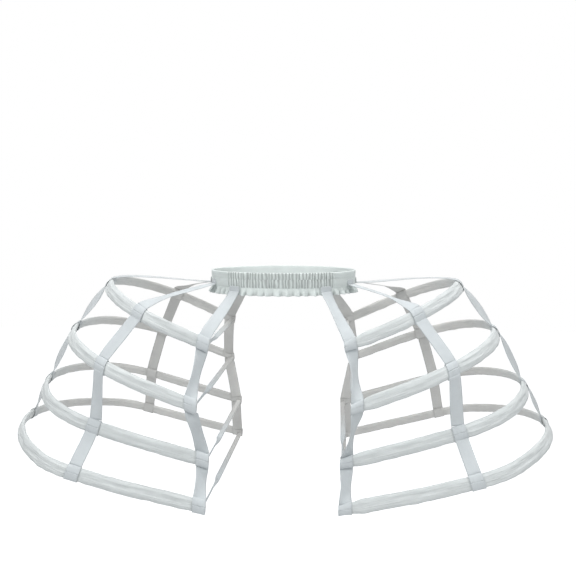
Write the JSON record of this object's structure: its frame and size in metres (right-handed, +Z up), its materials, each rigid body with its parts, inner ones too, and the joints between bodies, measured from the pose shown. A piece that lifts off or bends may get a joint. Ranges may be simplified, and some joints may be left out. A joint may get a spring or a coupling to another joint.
{
  "type": "side hoop crinoline cage",
  "caption": "Pull-on gathered elastic waistband carrying mirrored side cages of cloth-covered steel hoops, hung on flat tapes to hold a wide skirt out.",
  "frame": {"origin": "middle of the waist opening, halfway up the gathered band", "axes": "+Z up, +X to the wearer's left, +Y to the wearer's back"},
  "size_m": [0.923, 0.5029, 0.3753],
  "materials": {
    "band_cloth": "matt woven cotton",
    "elastic": "knitted elastic",
    "casing_cloth": "matt woven cotton",
    "tape": "twill tape",
    "spring_steel": "flat spring steel"
  },
  "bodies": {
    "root": {"waistband": "band_cloth", "elastic_front": "elastic", "elastic_back": "elastic", "left_hoop_1_casing": "casing_cloth", "left_hoop_1_bone": "spring_steel", "left_hoop_1_chord": "tape", "left_hoop_2_casing": "casing_cloth", "left_hoop_2_bone": "spring_steel", "left_hoop_2_chord": "tape", "left_hoop_3_casing": "casing_cloth", "left_hoop_3_bone": "spring_steel", "left_hoop_3_chord": "tape", "left_hoop_4_casing": "casing_cloth", "left_hoop_4_bone": "spring_steel", "left_hoop_4_chord": "tape", "left_tape_front_inner": "tape", "left_tape_front_outer": "tape", "left_tape_side": "tape", "left_tape_back_outer": "tape", "left_tape_back_inner": "tape", "right_hoop_1_casing": "casing_cloth", "right_hoop_1_bone": "spring_steel", "right_hoop_1_chord": "tape", "right_hoop_2_casing": "casing_cloth", "right_hoop_2_bone": "spring_steel", "right_hoop_2_chord": "tape", "right_hoop_3_casing": "casing_cloth", "right_hoop_3_bone": "spring_steel", "right_hoop_3_chord": "tape", "right_hoop_4_casing": "casing_cloth", "right_hoop_4_bone": "spring_steel", "right_hoop_4_chord": "tape", "right_tape_front_inner": "tape", "right_tape_front_outer": "tape", "right_tape_side": "tape", "right_tape_back_outer": "tape", "right_tape_back_inner": "tape"}
  },
  "joints": []
}
